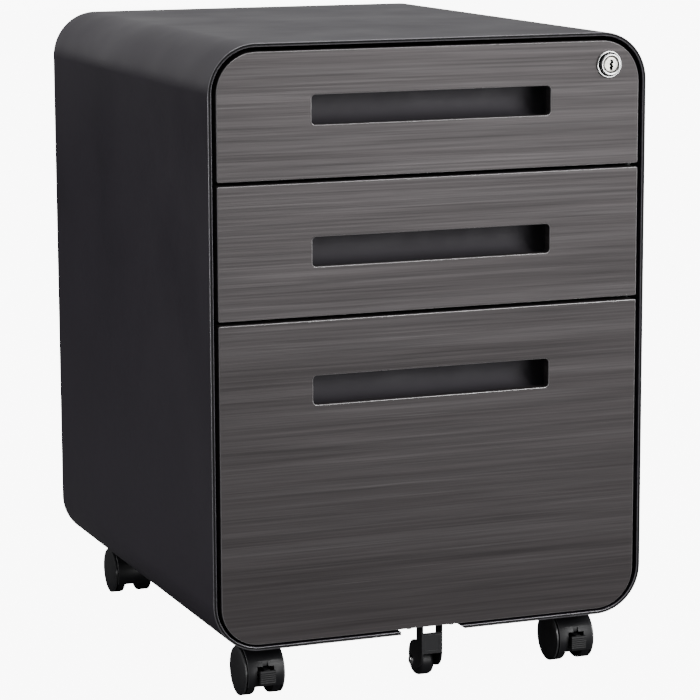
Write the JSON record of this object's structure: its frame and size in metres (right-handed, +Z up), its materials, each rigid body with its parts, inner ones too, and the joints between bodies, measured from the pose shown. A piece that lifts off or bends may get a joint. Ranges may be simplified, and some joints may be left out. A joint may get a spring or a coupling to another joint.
{
  "type": "mobile filing pedestal",
  "caption": "Metal mobile filing pedestal with a rounded wrap shell, two box drawers, a file drawer on ball slides, a cam lock, braked twin-wheel casters and an anti-tip wheel.",
  "frame": {"origin": "centre of the footprint on the floor, under the middle of the overall depth", "axes": "+Z up, the drawers open towards -Y, +X is the user's right when facing the drawers"},
  "size_m": [0.39, 0.455, 0.55],
  "materials": {
    "shell_paint": "satin charcoal powder coat",
    "front_film": "brushed grey-brown wood-grain film over steel",
    "inner_paint": "satin black powder coat",
    "zinc_steel": "bright zinc plate",
    "chrome": "polished chrome",
    "pocket_plastic": "satin moulded plastic",
    "tray_plastic": "fine-grained moulded plastic",
    "lever_plastic": "ribbed moulded plastic",
    "caster_plastic": "satin moulded nylon"
  },
  "bodies": {
    "cabinet": {"shell_wrap": "shell_paint", "back_panel": "shell_paint", "base_pan": "inner_paint", "upright_front_left": "inner_paint", "upright_front_right": "inner_paint", "upright_rear_left": "inner_paint", "upright_rear_right": "inner_paint", "slide_outer_top_left": "zinc_steel", "slide_outer_top_right": "zinc_steel", "slide_outer_middle_left": "zinc_steel", "slide_outer_middle_right": "zinc_steel", "slide_outer_file_left": "zinc_steel", "slide_outer_file_right": "zinc_steel", "caster_stem_front_left": "zinc_steel", "caster_stem_front_right": "zinc_steel", "caster_stem_rear_left": "zinc_steel", "caster_stem_rear_right": "zinc_steel"},
    "drawer_top": {"drawer_front_top": "front_film", "drawer_box_top": "inner_paint", "finger_pocket_top": "pocket_plastic", "slide_inner_top_left": "zinc_steel", "slide_inner_top_right": "zinc_steel", "pencil_tray": "tray_plastic", "lock_housing": "chrome"},
    "drawer_middle": {"drawer_front_middle": "front_film", "drawer_box_middle": "inner_paint", "finger_pocket_middle": "pocket_plastic", "slide_inner_middle_left": "zinc_steel", "slide_inner_middle_right": "zinc_steel"},
    "drawer_file": {"drawer_front_file": "front_film", "drawer_box_file": "inner_paint", "finger_pocket_file": "pocket_plastic", "slide_inner_file_left": "zinc_steel", "slide_inner_file_right": "zinc_steel", "hanging_rail_left": "zinc_steel", "hanging_rail_right": "zinc_steel", "anti_tip_bracket": "inner_paint", "anti_tip_axle": "zinc_steel"},
    "lock_plug": {"lock_plug": "chrome", "lock_cam": "zinc_steel"},
    "lock_bar": {"lock_bar": "zinc_steel"},
    "slide_middle_left": {"slide_middle_file_left": "zinc_steel"},
    "slide_middle_right": {"slide_middle_file_right": "zinc_steel"},
    "anti_tip_wheel": {"anti_tip_wheel": "caster_plastic"},
    "caster_front_left": {"caster_hood_front_left": "caster_plastic"},
    "wheel_front_left_a": {"caster_wheel_front_left_a": "caster_plastic"},
    "wheel_front_left_b": {"caster_wheel_front_left_b": "caster_plastic"},
    "caster_front_right": {"caster_hood_front_right": "caster_plastic"},
    "wheel_front_right_a": {"caster_wheel_front_right_a": "caster_plastic"},
    "wheel_front_right_b": {"caster_wheel_front_right_b": "caster_plastic"},
    "caster_rear_left": {"caster_hood_rear_left": "caster_plastic"},
    "wheel_rear_left_a": {"caster_wheel_rear_left_a": "caster_plastic"},
    "wheel_rear_left_b": {"caster_wheel_rear_left_b": "caster_plastic"},
    "caster_rear_right": {"caster_hood_rear_right": "caster_plastic"},
    "wheel_rear_right_a": {"caster_wheel_rear_right_a": "caster_plastic"},
    "wheel_rear_right_b": {"caster_wheel_rear_right_b": "caster_plastic"},
    "brake_left": {"brake_lever_left": "lever_plastic"},
    "brake_right": {"brake_lever_right": "lever_plastic"}
  },
  "joints": [
    {"name": "drawer_top_slide", "type": "slide", "parent": "cabinet", "child": "drawer_top", "axis": [0, -1, 0], "range_m": [0, 0.3]},
    {"name": "drawer_middle_slide", "type": "slide", "parent": "cabinet", "child": "drawer_middle", "axis": [0, -1, 0], "range_m": [0, 0.3]},
    {"name": "drawer_file_slide", "type": "slide", "parent": "cabinet", "child": "drawer_file", "axis": [0, -1, 0], "range_m": [0, 0.39]},
    {"name": "slide_middle_left_slide", "type": "slide", "parent": "cabinet", "child": "slide_middle_left", "axis": [0, -1, 0], "range_m": [0, 0.195]},
    {"name": "slide_middle_right_slide", "type": "slide", "parent": "cabinet", "child": "slide_middle_right", "axis": [0, -1, 0], "range_m": [0, 0.195]},
    {"name": "lock_turn", "type": "hinge", "parent": "drawer_top", "child": "lock_plug", "pos_m": [0.16, -0.2225, 0.523], "axis": [0, -1, 0], "range_deg": [0, 90]},
    {"name": "lock_bar_lift", "type": "slide", "parent": "cabinet", "child": "lock_bar", "axis": [0, 0, 1], "range_m": [0, 0.009]},
    {"name": "caster_front_left_swivel", "type": "hinge", "parent": "cabinet", "child": "caster_front_left", "pos_m": [-0.1435, -0.1685, 0.045], "axis": [0, 0, 1], "continuous": true},
    {"name": "wheel_front_left_a_spin", "type": "hinge", "parent": "caster_front_left", "child": "wheel_front_left_a", "pos_m": [-0.1435, -0.1825, 0.02087], "axis": [1, 0, 0], "continuous": true},
    {"name": "wheel_front_left_b_spin", "type": "hinge", "parent": "caster_front_left", "child": "wheel_front_left_b", "pos_m": [-0.1435, -0.1825, 0.02087], "axis": [1, 0, 0], "continuous": true},
    {"name": "caster_front_right_swivel", "type": "hinge", "parent": "cabinet", "child": "caster_front_right", "pos_m": [0.1435, -0.1685, 0.045], "axis": [0, 0, 1], "continuous": true},
    {"name": "wheel_front_right_a_spin", "type": "hinge", "parent": "caster_front_right", "child": "wheel_front_right_a", "pos_m": [0.1435, -0.1825, 0.02087], "axis": [1, 0, 0], "continuous": true},
    {"name": "wheel_front_right_b_spin", "type": "hinge", "parent": "caster_front_right", "child": "wheel_front_right_b", "pos_m": [0.1435, -0.1825, 0.02087], "axis": [1, 0, 0], "continuous": true},
    {"name": "caster_rear_left_swivel", "type": "hinge", "parent": "cabinet", "child": "caster_rear_left", "pos_m": [-0.1435, 0.1735, 0.045], "axis": [0, 0, 1], "continuous": true},
    {"name": "wheel_rear_left_a_spin", "type": "hinge", "parent": "caster_rear_left", "child": "wheel_rear_left_a", "pos_m": [-0.1435, 0.1875, 0.02087], "axis": [1, 0, 0], "continuous": true},
    {"name": "wheel_rear_left_b_spin", "type": "hinge", "parent": "caster_rear_left", "child": "wheel_rear_left_b", "pos_m": [-0.1435, 0.1875, 0.02087], "axis": [1, 0, 0], "continuous": true},
    {"name": "caster_rear_right_swivel", "type": "hinge", "parent": "cabinet", "child": "caster_rear_right", "pos_m": [0.1435, 0.1735, 0.045], "axis": [0, 0, 1], "continuous": true},
    {"name": "wheel_rear_right_a_spin", "type": "hinge", "parent": "caster_rear_right", "child": "wheel_rear_right_a", "pos_m": [0.1435, 0.1875, 0.02087], "axis": [1, 0, 0], "continuous": true},
    {"name": "wheel_rear_right_b_spin", "type": "hinge", "parent": "caster_rear_right", "child": "wheel_rear_right_b", "pos_m": [0.1435, 0.1875, 0.02087], "axis": [1, 0, 0], "continuous": true},
    {"name": "brake_left_press", "type": "hinge", "parent": "caster_front_left", "child": "brake_left", "pos_m": [-0.1435, -0.1955, 0.02375], "axis": [1, 0, 0], "range_deg": [0, 16]},
    {"name": "brake_right_press", "type": "hinge", "parent": "caster_front_right", "child": "brake_right", "pos_m": [0.1435, -0.1955, 0.02375], "axis": [1, 0, 0], "range_deg": [0, 16]},
    {"name": "anti_tip_wheel_spin", "type": "hinge", "parent": "drawer_file", "child": "anti_tip_wheel", "pos_m": [0.0025, -0.1905, 0.016], "axis": [1, 0, 0], "continuous": true}
  ],
  "couplings": [
    {"joint": "slide_middle_left_slide", "follows": "drawer_file_slide", "ratio": 0.5},
    {"joint": "slide_middle_right_slide", "follows": "drawer_file_slide", "ratio": 0.5},
    {"joint": "lock_bar_lift", "follows": "lock_turn", "m_per_rad": 0.00509}
  ]
}
